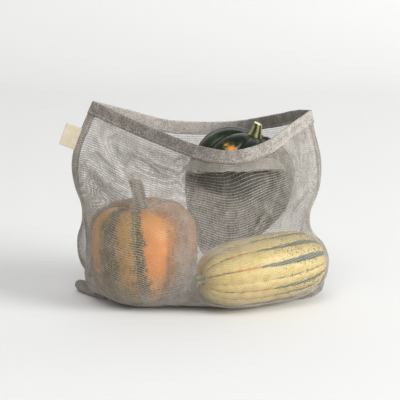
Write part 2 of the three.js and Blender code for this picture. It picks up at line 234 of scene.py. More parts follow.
class Body:
    """A rounded body about its own axis. `square` is the exponent of its outline, and
    `square_below` that of its half away from the stem, where it has another."""

    grooves = None

    def __init__(self, centre, axis, radius, above, below, square, square_below=None, phase=0.0,
                 **more):
        self.centre, self.axis, self.radius = np.array(centre, float), unit(axis), radius
        self.above, self.below = above, below
        self.square, self.square_below = square, square_below or square
        self.turn = axis_turn(axis, phase)
        vars(self).update(more)     # what only a squash has, such as its ribs and its stem

    def own_space(self, points):
        return (points - self.centre) @ self.turn

    def model_space(self, local):
        return local @ self.turn.T + self.centre

    def depth(self, local, room=0.0):
        """Under 1 for points inside the body, grown by `room`, and over 1 outside it."""
        upper = local[..., 2] > 0
        outward = np.hypot(local[..., 0], local[..., 1]) / (self.radius + room)
        height = np.abs(local[..., 2]) / (np.where(upper, self.above, self.below) + room)
        power = np.where(upper, self.square, self.square_below)
        return (outward**power + height**power) ** (1 / power)

    def push_out(self, points, room):
        """Moves the points that lie in the body straight out from its middle."""
        reach = 1.5 * (max(self.radius, self.above, self.below) + room)
        near = np.linalg.norm(points - self.centre, axis=1) < reach
        local = self.own_space(points[near])
        local /= np.clip(self.depth(local, room), 1e-3, 1)[:, None]
        points[near] = self.model_space(local)

    def closeness(self, points):
        """1 for points that lie on the body, falling to 0 as they leave it."""
        return 1 - smooth_step(self.depth(self.own_space(points)), *CONTACT)


CARNIVAL = Body((-62.8, -4, 59.5), (-0.04, -0.02, 1), 61.3, 56.5, 58.5, 3.3, 2.2, phase=-94,
                ribs=10, groove_depth=0.085, groove_sharpness=0.55,
                stem_dimple=(12, 20), end_dimple=(7, 14),
                stem=dict(base=38, length=41, lean=(-4.5, -2), radii=(13, 8.6, 7, 7.4, 7.8),
                          lobes=5, lobe_depth=0.1))
ACORN = Body((41.6, 34, 123.7), (0.345, -0.03, 0.885), 62.2, 64.4, 92, 2.7, 1.34, phase=-78,
             ribs=10, groove_depth=0.10, groove_sharpness=0.6,
             stem_dimple=(4, 15), end_dimple=(1, 6),
             stem=dict(base=52.4, length=22.6, lean=(-5, 0), foot=(-5, 0),
                       radii=(10.8, 10.2, 7.2, 6.0, 5.3), lobes=5, lobe_depth=0.28))
# The delicata's grooves lie at these angles round its axis, and bend by `twist` degrees towards
# its blossom end.
DELICATA = Body((69.5, -15.5, 42.2), (-0.865, -0.46, -0.04), 37.5, 81, 73, 2.7, 3.2, phase=8,
                grooves=(8, 37, 66, 98, 130, 160, 190, 220, 247, 267, 285, 310, 341),
                ribs=13, twist=9, groove_depth=0.05, groove_sharpness=0.7,
                stem_dimple=(6, 12), end_dimple=(3, 10),
                stem=dict(base=66, length=19, lean=(0, 0), radii=(8.4, 6.8, 6, 5.6),
                          lobes=5, lobe_depth=0.1))
SQUASHES = (CARNIVAL, ACORN, DELICATA)
SKIN_DENTS = 0.35           # how deep the soft dents in a skin are, more or less
# The stiff cloth stands out at both of the bottom's corners, and is drawn in at the right seam.
BILLOWS = (Body((-88, 22, 60), (0, 0, 1), 48, 46, 46, 2.0),
           Body((114, 24, 19), (0, 0, 1), 24, 18, 18, 2.4),
           Body((148, 25, 92), (0, 1, 0), 25, 75, 75, 2.2))


def lobe_turn(squash, polar, around):
    """The angle round the axis, stretched so that the squash's grooves lie evenly in it."""
    if squash.grooves is None:
        return around
    first = squash.grooves[0]
    grooves = np.array([*squash.grooves, first + 360], float)
    bend = squash.twist * np.clip(-np.cos(polar), 0, 1)
    turn = (np.degrees(around) - bend - first) % 360 + first
    return 2 * math.pi * np.interp(turn, grooves, np.arange(len(grooves))) / squash.ribs


def skin_points(squash, polar, around):
    """Points of the skin: `polar` runs from the stem (0) to the blossom end (pi)."""
    up = np.cos(polar)
    upper = up > 0
    power = 2 / np.where(upper, squash.square, squash.square_below)
    out = np.abs(np.sin(polar)) ** power
    turn = lobe_turn(squash, polar, around)
    rib = np.abs(np.sin(squash.ribs * turn / 2)) ** squash.groove_sharpness
    swell = 1 - squash.groove_depth * (1 - rib) * out
    radius = squash.radius * out * swell
    height = np.sign(up) * np.abs(up) ** power * np.where(upper, squash.above, squash.below) * swell
    depth, width = (np.where(upper, *pair) for pair in zip(squash.stem_dimple, squash.end_dimple))
    height -= np.sign(up) * depth * np.exp(-((radius / width) ** 2))
    return squash.model_space(np.stack([radius * np.cos(around), radius * np.sin(around), height], -1))


def model_shift():
    """How far the frame lies from the model space, from where the acorn squash is in it."""
    polar, around = np.meshgrid(np.linspace(0, math.pi, 19), np.linspace(0, 2 * math.pi, 41))
    skin = skin_points(ACORN, polar, around).reshape(-1, 3)
    low, high = (np.array(corner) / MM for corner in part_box("acorn_squash"))
    return np.array([low[0] - skin[:, 0].min(), high[1] - skin[:, 1].max(), 0])


SHIFT = model_shift()


# -------------------- meshes

# The node whose solid the pieces with each slot's material replace.
SLOT_NODES = {"cotton_net": "bag", "cotton_tape": "label", "orange_rind": "carnival_squash",
              "green_rind": "acorn_squash", "yellow_rind": "delicata_squash"}


def to_frame(points):
    return (np.asarray(points, float) + SHIFT) * MM


def add_object(name, data):
    thing = bpy.data.objects.new(name, data)
    bpy.context.scene.collection.objects.link(thing)
    return thing


def new_mesh(name, points, faces, material, slot="cotton_net"):
    """A piece from points in model space and faces of four corners. A face that has the same
    corner twice in a row is a triangle."""
    mesh = bpy.data.meshes.new(name)
    faces = np.asarray(faces, np.int32)
    own_corners = faces != np.roll(faces, 1, axis=1)
    corners = own_corners.sum(1)
    mesh.vertices.add(len(points))
    mesh.vertices.foreach_set("co", to_frame(points).astype(np.float32).ravel())
    mesh.loops.add(int(corners.sum()))
    mesh.loops.foreach_set("vertex_index", faces[own_corners])
    mesh.polygons.add(len(faces))
    mesh.polygons.foreach_set("loop_start", (np.cumsum(corners) - corners).astype(np.int32))
    mesh.polygons.foreach_set("use_smooth", np.ones(len(faces), bool))
    mesh.update(calc_edges=True)
    mesh.validate()
    mesh.materials.append(material)
    piece = add_object(name, mesh)
    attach(piece, "root")
    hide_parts(SLOT_NODES[slot])
    return piece


def grid_faces(rows, columns):
    """Quads of a tube's points, which are numbered ring by ring."""
    start = np.arange(rows - 1)[:, None] * columns
    here = np.arange(columns)
    after = (here + 1) % columns
    quads = [start + here, start + after, start + columns + after, start + columns + here]
    return np.stack(quads, -1).reshape(-1, 4)


def capped_tube(rings):
    """Points and faces of a closed tube through rings of points, each end a fan."""
    count, sides = rings.shape[:2]
    here = np.arange(sides)
    after = (here + 1) % sides
    end = (count - 1) * sides
    first = np.full(sides, count * sides)
    last = first + 1
    caps = [np.stack([after, here, first, first], -1),
            np.stack([end + here, end + after, last, last], -1)]
    points = np.vstack([rings.reshape(-1, 3), rings[0].mean(0), rings[-1].mean(0)])
    return points, np.vstack([grid_faces(count, sides), *caps])


def store(piece, name, values):
    """Keeps three numbers with each point of a piece, for its material to read."""
    attribute = piece.data.attributes.new(name, "FLOAT_VECTOR", "POINT")
    attribute.data.foreach_set("vector", np.asarray(values, np.float32).ravel())


def band_rings(lines, normals, thickness):
    """Sections of a strip of thick cloth with rounded edges. `lines` holds, for each station
    along the strip, points across it; `thickness` has one number for each of these points."""
    half = np.broadcast_to(np.asarray(thickness, float) / 2, lines.shape[:2])[..., None]
    edges = []
    for edge, inner, sign in ((-1, -2, 1), (0, 1, -1)):
        end = lines[:, edge]
        beyond = unit(end - lines[:, inner]) * half[:, edge]
        up = sign * 0.75 * normals[:, edge] * half[:, edge]
        edges.append(np.stack([end + 0.65 * beyond + up, end + beyond, end + 0.65 * beyond - up], 1))
    lift = normals * half
    return np.concatenate([lines + lift, edges[0], (lines - lift)[:, ::-1], edges[1]], axis=1)


def make_strip(name, rings, material, slot="cotton_net", flip=False):
    """A closed strip of dense cloth through rings of points. Each point keeps how far it lies
    along the strip and round it, in mm, as its place in the weave."""
    points, faces = capped_tube(rings)
    piece = new_mesh(name, points, faces[:, ::-1] if flip else faces, material, slot)
    along = distances(rings).mean(1)
    around = distances(rings.swapaxes(0, 1)).mean(1)
    place = np.zeros((len(points), 3))
    place[:-2, :2] = np.stack(np.meshgrid(along, around, indexing="ij"), -1).reshape(-1, 2)
    place[-1, 0] = along[-1]
    store(piece, "weave", place)


# -------------------- the cloth's shape

def stem_guard(squash):
    """A plain rounded body round a stem, which the cloth stays clear of."""
    stem = squash.stem
    half = stem["length"] / 2
    centre = squash.centre + squash.axis * (stem["base"] + half)
    radius = stem["radii"][1] + math.hypot(*stem["lean"]) + CLOTH_CLEARANCE
    half += CLOTH_CLEARANCE
    return Body(centre, squash.axis, radius, half, half, squash.square)


def pin_edges(cloth):
    """Lays the sides and the top of the cloth on the curves of the seams and the rims."""
    rows, half = cloth.shape[0] - 1, cloth.shape[1] // 2
    for column, seam in ((0, LEFT_SEAM), (half, RIGHT_SEAM)):
        cloth[:, column] = smooth_curve(seam[::-1], rows)
    cloth[-1, :half + 1] = smooth_curve(FRONT_RIM, half)
    cloth[-1, half + 1:] = smooth_curve(BACK_RIM, half)[half - 1:0:-1]
    return cloth


def start_cloth(columns, rows):
    """The cloth before it is pulled tight, as rows from the bottom fold to the rim of points
    round the bag: along the front from the left seam to the right one, and back behind."""
    left, right = (np.array(seam[-1], float) for seam in (LEFT_SEAM, RIGHT_SEAM))
    rise = np.linspace(0, 1, rows + 1)[:, None, None]
    across = np.linspace(0, 1, columns + 1)
    fold = left + (right - left) * across[:, None]
    fold[:, 1] += (BOTTOM_FOLD_DEPTH - fold[:, 1]) * np.sin(math.pi * across)
    fold[:, 2] = TABLE
    panels = []
    for outline, side in ((FRONT_RIM, -1), (BACK_RIM, 1)):
        rim = smooth_curve(outline, columns)
        low, high = fold.copy(), rim * (1, 1, 0.5)
        low[:, 1], high[:, 1] = side * START_BULGE_LOW, side * START_BULGE_HIGH
        panels.append((1 - rise) ** 3 * fold + 3 * rise * (1 - rise) ** 2 * low
                      + 3 * rise**2 * (1 - rise) * high + rise**3 * rim)
    return pin_edges(np.concatenate([panels[0], panels[1][:, -2:0:-1]], axis=1))


def rows_below(cloth):
    """For each row the one below it. Below the bottom fold comes the other panel."""
    return np.concatenate([cloth[1, -np.arange(cloth.shape[1])][None], cloth[:-1]])


def free_points(cloth):
    """The points that neither the rim nor a seam holds."""
    free = np.ones(cloth.shape[:2], bool)
    free[-1] = free[:, 0] = free[:, cloth.shape[1] // 2] = False
    return free


def close_bottom(cloth):
    """Lays the back panel's lowest row on the front panel's."""
    half = cloth.shape[1] // 2
    cloth[0, half + 1:] = cloth[0, half - 1:0:-1]


def pull_tight(cloth, obstacles, steps, sinking):
    """Every free point moves towards the middle of its neighbours, sinks a little under the
    cloth's weight, and then moves out of the squashes and up to the table."""
    free = free_points(cloth)[:-1]
    for _ in range(steps):
        middle = rows_below(cloth)[:-1] + cloth[1:]
        middle += np.roll(cloth[:-1], 1, axis=1) + np.roll(cloth[:-1], -1, axis=1)
        moved = cloth[:-1] + PULL * (middle / 4 - cloth[:-1])
        moved[..., 2] -= sinking
        points = moved[free]
        for obstacle in obstacles:
            obstacle.push_out(points, CLOTH_WALL + CLOTH_CLEARANCE)
        rest_on_table(points)
        cloth[:-1][free] = points
        close_bottom(cloth)
    return cloth


def refine(cloth):
    """The same cloth on a grid twice as fine."""
    rows, loop = cloth.shape[:2]
    fine = np.zeros((2 * rows - 1, 2 * loop, 3))
    fine[::2, ::2] = cloth
    fine[::2, 1::2] = (cloth + np.roll(cloth, -1, axis=1)) / 2
    fine[1::2] = (fine[2::2] + fine[:-2:2]) / 2
    return pin_edges(fine)


def stretched_cloth():
    obstacles = [solid for squash in SQUASHES for solid in (squash, stem_guard(squash))]
    obstacles += BILLOWS
    cloth = start_cloth(COARSE_COLUMNS, COARSE_ROWS)
    for level, steps in enumerate(RELAXING_STEPS):
        if level:
            cloth = refine(cloth)
        cloth = pull_tight(cloth, obstacles, steps, SINKING / 4**level)
    return cloth


def cloth_normals(cloth):
    """Outward unit normals of the cloth's grid."""
    above = np.concatenate([cloth[1:], cloth[-1:]])
    around = np.roll(cloth, -1, axis=1) - np.roll(cloth, 1, axis=1)
    return unit(np.cross(around, above - rows_below(cloth)))


def panel_columns(loop, behind):
    """The grid's columns of one panel, from the left seam to the right one."""
    along = np.arange(loop // 2 + 1)
    return -along % loop if behind else along


def panel(grid, behind=False):
    return grid[:, panel_columns(grid.shape[1], behind)]


def panel_normals(points, behind=False):
    normals = unit(np.cross(np.gradient(points, axis=1), np.gradient(points, axis=0)))
    return -normals if behind else normals


def panel_place(points):
    """Where each point of a panel lies: its share of the way across, and mm below the rim."""
    below = distances(points[::-1])[::-1]
    return np.broadcast_to(np.linspace(0, 1, points.shape[1]), below.shape), below


def fold_height(across, below, path, height, width):
    """A rounded fold along a path, fading out towards both of its ends."""
    place = np.stack([across * PANEL_WIDTH, below], -1)
    path = np.array(path, float) * (PANEL_WIDTH, 1)
    starts = distances(path)
    nearest = np.full(across.shape, np.inf)
    along = np.zeros(across.shape)
    for start, end, before in zip(path, path[1:], starts):
        step = end - start
        share = np.clip((place - start) @ step / (step @ step), 0, 1)
        gap = np.linalg.norm(place - start - share[..., None] * step, axis=-1)
        closer = gap < nearest
        along = np.where(closer, before + share * np.linalg.norm(step), along)
        nearest = np.where(closer, gap, nearest)
    fade = np.sin(math.pi * np.clip(along / starts[-1], 0.04, 0.96)) ** 0.6
    return height * fade * np.exp(-((nearest / width) ** 2))


def small_folds(across, below, rng):
    """Short soft folds at random places, as in any cloth that has been handled."""
    total = np.zeros(across.shape)
    for _ in range(SMALL_FOLDS):
        middle = np.array([rng.uniform(0.02, 0.98), rng.uniform(16, 225)])
        angle = rng.normal(math.pi / 2, 0.7)
        reach = rng.uniform(7, 26)
        step = np.array([math.cos(angle) * reach / PANEL_WIDTH, math.sin(angle) * reach])
        bend = np.array([rng.normal(0, 4) / PANEL_WIDTH, rng.normal(0, 4)])
        path = (middle - step, middle + bend, middle + step)
        height, width = rng.choice([-1, 1]) * rng.uniform(0.4, 1.3), rng.uniform(2.6, 6.0)
        total += fold_height(across, below, path, height, width)
    return total


def crease_at(across, end):
    """How far below the rim the crease lies, and how firmly it is folded there."""
    hold = smooth_step(across, *GRIP) * (1 - smooth_step(across, *end))
    return read_off(across, CREASE), hold


def shelf(across, below):
    """The strip of net below the front hem stands off the squash and ends in a crease, from
    where the net steps back."""
    crease, hold = crease_at(across, SHELF_END)
    out = read_off(across, SHELF_OUT)
    strip = np.clip(below / crease, 0, 1) ** 0.8
    gap = below - crease
    fall = smooth_step(gap, 0, SHELF_FALL) * hold
    back = 1 - smooth_step(gap, SHELF_FALL, SHELF_FALL + SHELF_RETURN)
    return (out * strip * (1 - fall) - SHELF_BACK * fall) * back


def fold_cloth(cloth):
    """The stretched cloth with its folds, lying closely on the squashes."""
    rng = np.random.default_rng(11)
    folded = cloth.copy()
    for behind, folds in ((False, FRONT_FOLDS), (True, BACK_FOLDS)):
        points = panel(cloth, behind)
        across, below = panel_place(points)
        height = sum(fold_height(across, below, *fold) for fold in folds)
        height = height + small_folds(across, below, rng)
        height *= 0.25 + 0.75 * smooth_step(below, HEM_HEIGHT, HEM_HEIGHT + 8)
        if not behind:
            height += shelf(across, below)
        height *= np.minimum(1, 6 * np.sin(math.pi * across)) * smooth_step(below, 0, 6)
        moved = points + panel_normals(points, behind) * height[..., None]
        folded[:, panel_columns(cloth.shape[1], behind)] = moved
    close_bottom(folded)
    free = free_points(folded)
    points = folded[free]
    for squash in SQUASHES:
        squash.push_out(points, RESTING_GAP)
        stem_guard(squash).push_out(points, 0)
    rest_on_table(points)
    folded[free] = points
    return folded


def net_rows(stretched, folded):
    """Rows for the weft yarns of the folded cloth, from the bottom fold up to the hem's lower
    edge. On the stretched cloth they lie smoothly, however the columns' lengths vary."""
    net = np.zeros((WEFT_ROWS + 1, folded.shape[1], 3))
    reach = distances(stretched)
    lengths = reach[-1]
    rows = np.arange(len(reach))
    window = np.hanning(33)
    around = np.concatenate([lengths[-16:], lengths, lengths[:16]])
    smooth = np.convolve(around, window / window.sum(), "valid")
    top = HEM_HEIGHT - 2
    down = np.linspace(1, 0, WEFT_ROWS + 1)
    for column, (length, even) in enumerate(zip(lengths, smooth)):
        below = top + (even - top) * down + (length - even) * down**3
        row = np.interp(length - below, reach[:, column], rows)
        net[:, column] = np.stack([np.interp(row, rows, folded[:, column, k]) for k in range(3)], -1)
    rest_on_table(net)
    return net


def yarn_fullness(net):
    """How thick the yarns are at each point of the net, and where it hangs free."""
    loop = net.shape[1]
    fullness = read_off(net[..., 0], FREE_FULLNESS)
    over_acorn = read_off(net[..., 0], ACORN_FULLNESS)
    hanging = np.ones(net.shape[:2])
    for squash, pressed in ((ACORN, over_acorn), (CARNIVAL, PRESSED_FULLNESS),
                            (DELICATA, PRESSED_FULLNESS)):
        near = squash.closeness(net)
        fullness = fullness * (1 - near) + pressed * near
        hanging = hanging * (1 - near)
    # Low down, and left of the middle.
    gathered = smooth_step(-net[..., 2], -40, -8) * smooth_step(-net[..., 0], -25, 5)
    fullness *= 1 + BOTTOM_GATHER * gathered
    fullness[:, loop // 2 + 1:] *= BACK_FULLNESS
    across, below = panel_place(panel(net))
    crease, hold = crease_at(across, THINNING_END)
    gap = below - crease
    hold = hold * (1 - smooth_step(across, 0.58, 0.80)) * (gap > -1)
    thinned = 1 - (1 - CREASE_FULLNESS) * hold * (1 - smooth_step(gap, 0, CREASE_REACH))
    fullness[:, panel_columns(loop, False)] *= thinned
    return fullness, hanging


# -------------------- yarns

def yarn_tubes(lines, normals, radius):
    """Points and faces of square tubes along many lines of the same number of points, with a
    flat side towards the cloth."""
    count, length = lines.shape[:2]
    ahead = np.gradient(lines, axis=1)
    side = unit(np.cross(normals, ahead))
    lift = unit(np.cross(ahead, side))
    radius = np.broadcast_to(radius, (count, length))[..., None, None]
    ring = circle(side, lift, 2 * math.pi * (np.arange(4) + 0.5) / 4)
    points = lines[:, :, None] + ring * radius
    tube = np.arange(count)[:, None, None] * length * 4
    faces = (tube + grid_faces(length, 4)).reshape(-1, 4)
    start, end = tube[:, 0] + (3, 2, 1, 0), tube[:, 0] + (length - 1) * 4 + np.arange(4)
    return points.reshape(-1, 3), np.vstack([faces, start, end])


def make_net(cloth, material):
    """The open net itself, as real yarns: weft yarns round the bag, warp yarns from the rim
    down the front, under the squashes and up the back."""
    rng = np.random.default_rng(5)
    rows, loop = cloth.shape[:2]
    columns = loop // 2
    normals = cloth_normals(cloth)
    centre = cloth - normals * (CLOTH_WALL / 2)
    row, column = np.indices((rows, loop))
    over = np.where((row + column) % 2 == 0, 1.0, -1.0)[..., None] * CRIMP + WEFT_PROUD
    drift = rng.normal(0, YARN_DRIFT, (rows, loop, 3))
    weft = centre + normals * over + drift
    warp = centre - normals * over + drift
    thickness = 1 + YARN_UNEVEN * rng.standard_normal((rows, loop)).clip(-2, 2)
    fullness, hanging = yarn_fullness(cloth)
    thickness *= fullness
    slub_rows = 1 + WEFT_UNEVEN * rng.standard_normal((rows, 1)).clip(-2, 2)
    # Where the net hangs free, its warp yarns are thicker and its weft yarns a little thinner.
    weft_radius = WEFT_RADIUS * thickness * slub_rows * (1.04 - 0.14 * hanging)
    warp_radius = WARP_RADIUS * thickness * (0.88 + 0.50 * hanging)
    for name, part in (("net_weft_front", np.arange(columns + 1)),
                       ("net_weft_back", np.arange(columns, loop + 1) % loop)):
        tubes = yarn_tubes(*(grid[1:, part] for grid in (weft, normals, weft_radius)))
        new_mesh(name, *tubes, material)
    front = np.arange(1, columns)
    down, facing, radius = (np.concatenate([grid[::-1, front], grid[1:, loop - front]]).swapaxes(0, 1)
                            for grid in (warp, normals, warp_radius))
    third = len(front) // 3
    for name, part in (("net_warp_left", slice(0, third)),
                       ("net_warp_middle", slice(third, 2 * third)),
                       ("net_warp_right", slice(2 * third, None))):
        new_mesh(name, *yarn_tubes(down[part], facing[part], radius[part]), material)


def make_pleat(stretched, folded, material):
    """Two more layers of net behind the strip below the front hem: the cloth lies in a pleat
    there, which ends in the crease."""
    across, below = panel_place(panel(stretched))
    points = panel(folded)
    grids = np.concatenate([points, panel_normals(points)], axis=-1)
    crease, hold = crease_at(across[0], PLEAT_END)
    layers = []
    for step, behind in enumerate(PLEAT_LAYERS):
        columns = []
        for c in np.flatnonzero(hold > 0.3):
            top = max(HEM_HEIGHT - 1, crease[c] - PLEAT_DEPTH * hold[c])
            spots = np.linspace(crease[c] - 0.6 * step, top, 9)
            columns.append([np.interp(spots, below[::-1, c], values[::-1]) for values in grids[:, c].T])
        line, facing = np.split(np.array(columns).transpose(2, 0, 1), 2, axis=-1)
        facing = unit(facing)
        layers.append((line - facing * (behind + CLOTH_WALL / 2), facing))
    for name, turned, radius in (("pleat_weft", False, WEFT_RADIUS), ("pleat_warp", True, WARP_RADIUS)):
        lines, facings = (np.concatenate([part.swapaxes(0, 1) if turned else part for part in parts])
                          for parts in zip(*layers))
        new_mesh(name, *yarn_tubes(lines, facings, radius), material)


# -------------------- hem, seams, roll and label

def strip_lines(points, normals, depths):
    """Points and normals of a grid at the given distances along each of its lines."""
    lines = np.array([values_at(depths, line, line) for line in points])
    return lines, unit([values_at(depths, line, own) for line, own in zip(points, normals)])


def make_stitches(name, rows, material):
    """Rows of short stitches. Each row is a line of points on the cloth and its normals."""
    share = np.linspace(-0.5, 0.5, 5)
    lift = STITCH_RADIUS * (1 - 7 * share**2)[:, None]
    lines, facings = [], []
    for line, normals in rows:
        middles = np.arange(STITCH_STEP, distances(line)[-1] - STITCH_STEP, STITCH_STEP)
        spots = middles[:, None] + share * STITCH_LENGTH
        facing = unit(values_at(spots, line, normals))
        lines.append(values_at(spots, line, line) + facing * lift)
        facings.append(facing)
    radius = STITCH_RADIUS * (1 - 1.6 * share**2)
    new_mesh(name, *yarn_tubes(np.concatenate(lines), np.concatenate(facings), radius), material)


def make_hem(cloth, materials, thread):
    """The folded hem of each panel, with the dent of its row of stitches, and the stitches on
    both of its faces."""
    rng = np.random.default_rng(3)
    depths = np.linspace(HEM_HEIGHT, 0, 13)
    share = 1 - depths / HEM_HEIGHT
    dent = np.exp(-(((depths - STITCH_DEPTH) / STITCH_DENT) ** 2))
    stitched = int(np.abs(depths - STITCH_DEPTH).argmin())
    for side, material in zip(("front", "back"), materials):
        behind = side == "back"
        points = panel(cloth, behind)
        columns = (grid[::-1].swapaxes(0, 1) for grid in (points, panel_normals(points, behind)))
        lines, normals = strip_lines(*columns, depths)
        lumps = soft_noise(rng, len(lines), 9)[:, None]
        waves = soft_noise(rng, len(lines), 15)[:, None, None]
        sewn = np.sin(math.pi * np.linspace(0, 1, len(lines))).clip(0, 0.2)[:, None, None] * 5
        lines = lines + normals * 0.35 * waves * sewn * (1 - share)[None, :, None]
        thickness = HEM_THICKNESS * (0.86 + 0.22 * share**2) * (1 - 0.4 * dent) * (1 + 0.07 * lumps)
        make_strip("hem_" + side, band_rings(lines, normals, thickness), material, flip=behind)
        line, outward = lines[:, stitched], normals[:, stitched]
        faces = (outward, -outward)
        rows = [(line + face * thickness[:, stitched, None] / 2, face) for face in faces]
        make_stitches("stitches_" + side, rows, thread)


def make_seam_bands(net, material, thread):
    """The turned-in edges of the cloth along the side seams, just inside the net."""
    points = panel(net)
    normals = panel_normals(points)
    rows = []
    for side, order in (("left", slice(None)), ("right", slice(None, None, -1))):
        depths = np.linspace(0.3, SEAM_BANDS[side], 9)
        lines, facing = strip_lines(points[1:, order], normals[1:, order], depths)
        lines = lines - facing * SEAM_INSET
        rings = band_rings(lines, facing, SEAM_THICKNESS)
        rest_on_table(rings)
        make_strip("seam_" + side, rings, material)
        rows.append((lines[8:, -3] + facing[8:, -3] * 1.5, facing[8:, -3]))
    make_stitches("stitches_sides", rows, thread)


def make_corner_roll(material):
    """The bag's lower left corner, squeezed out behind the squash as a pleated roll with a
    rounded tip."""
    steps, sides = 72, 60
    path = smooth_curve(ROLL_PATH, steps)
    along = np.linspace(0, 1, steps + 1)
    radius = np.interp(along, np.linspace(0, 1, len(ROLL_RADII)), ROLL_RADII)
    radius *= np.sqrt(np.clip(1 - ((along - ROLL_TIP) / (1.001 - ROLL_TIP)).clip(0) ** 2, 0, 1))
    ahead = unit(np.gradient(path, axis=0))
    side = unit(np.cross([0, 0, 1], ahead))
    lift = unit(np.cross(ahead, side))
    turn = 2 * math.pi * np.arange(sides) / sides + 1.6 * along[:, None]
    pleat = 1 - 0.15 * np.abs(np.sin(2.5 * turn)) ** 6 - 0.06 * np.abs(np.sin(5.5 * turn + 1)) ** 4
    rings = path[:, None] + circle(side, lift, turn) * (radius[:, None] * pleat)[..., None]
    rest_on_table(rings)
    make_strip("corner_roll", rings, material)


def make_label(material):
    """A bare woven tape, folded double and sewn into the left seam."""
    seam = smooth_curve(LEFT_SEAM, 400)
    top, end = values_at((LABEL_FROM_CORNER, LABEL_FROM_CORNER + LABEL_HEIGHT), seam, seam)
    down = unit(end - top)
    out = unit(np.cross([0, 1, 0], down))
    facing = unit(np.cross(out, down))
    bend = LABEL_LOOP / 2
    straight = np.linspace(-1.0, LABEL_REACH - bend, 16)
    arc = np.linspace(-math.pi / 2, math.pi / 2, 9)[1:-1]
    reach = np.concatenate([straight, straight[-1] + bend * np.cos(arc), straight[::-1]])
    rise = np.concatenate([np.full(16, -bend), bend * np.sin(arc), np.full(16, bend)])
    rise *= 1 - 0.45 * np.clip(1 - reach / LABEL_REACH, 0, 1)
    heights = np.linspace(0, LABEL_HEIGHT, 27)[:, None]
    curl = 0.5 * np.sin(math.pi * heights / LABEL_HEIGHT) * (reach / LABEL_REACH) ** 2
    lines = (top + out * reach[:, None] + down * heights[..., None]
             + facing * (rise + curl)[..., None])
    normals = unit(np.cross(down, np.gradient(lines, axis=1)))
    make_strip("label_tape", band_rings(lines, normals, LABEL_TAPE), material, "cotton_tape")


# -------------------- materials

# Colours of the skins. An angle is seen from above: 0 faces the front, and it grows to the
# right; with it goes how much of the skin is orange there, the rest being green.
CARNIVAL_FRONT = 4          # the own angle of the front, in degrees
CARNIVAL_LEAN = 0.02
CARNIVAL_UPPER = ((-176, 0.5), (-150, 0.3), (-125, 0.7), (-100, 0.35), (-76, 0.4), (-65, 0.8),
                  (-52, 0.8), (-45, 0.36), (-30, 0.36), (-20, 0.66), (-12, 0.7), (-7, 0.36),
                  (4, 0.4), (9, 0.95), (27, 0.95), (34, 0.7), (58, 0.68), (68, 0.9),
                  (90, 0.7), (115, 0.3), (140, 0.8), (165, 0.3))
CARNIVAL_LOWER = ((-176, 0.4), (-150, 0.3), (-125, 0.6), (-100, 0.3), (-74, 0.36), (-62, 0.42),
                  (-46, 0.34), (-28, 0.40), (-20, 0.56), (-11, 0.54), (-4, 0.38), (6, 0.45),
                  (12, 0.66), (25, 0.68), (33, 0.55), (50, 0.5), (60, 0.7), (75, 0.5),
                  (100, 0.3), (140, 0.6), (170, 0.3))
# Orange spots of the acorn squash: angle round the axis, distance from it, height, radius (in
# tenths of a metre, as the places on a skin are stored) and how strong the colour is.
ACORN_SPOTS = ((317, 0.50, 0.45, 0.068, 1.0), (308, 0.50, 0.47, 0.085, 0.4),
               (314, 0.61, 0.24, 0.09, 0.55))
# How broad each of the delicata's stripes is, lobe by lobe from the one behind it.
DELICATA_STRIPES = (0.7, 0.55, 1.0, 0.22, 1.0, 0.75, 0.5, 0.8, 0.7, 0.9, 0.6, 0.8, 0.7)
WEAVE_PITCH = 1.05          # mm between the yarns of the sewn layers
TAPE_PITCHES = (0.7, 0.5)   # mm between the tape's ribs, and between its threads


def tint(colour):
    """The linear colour of a grey from 0 to 1, or of display values from 0 to 255."""
    if isinstance(colour, float):
        return (colour, colour, colour, 1.0)
    values = [v / 255 for v in colour]
    linear = [v / 12.92 if v <= 0.04045 else ((v + 0.055) / 1.055) ** 2.4 for v in values]
    return (*linear, 1.0)


class Value:
    """What a node gives out, to be reckoned with like a number."""

    def __init__(self, recipe, socket):
        self.recipe, self.socket = recipe, socket

    def __add__(self, other):
        return self.recipe.math("ADD", self, other)

    def __sub__(self, other):
        return self.recipe.math("SUBTRACT", self, other)

    def __mul__(self, other):
        return self.recipe.math("MULTIPLY", self, other)

    def __truediv__(self, other):
        return self.recipe.math("DIVIDE", self, other)


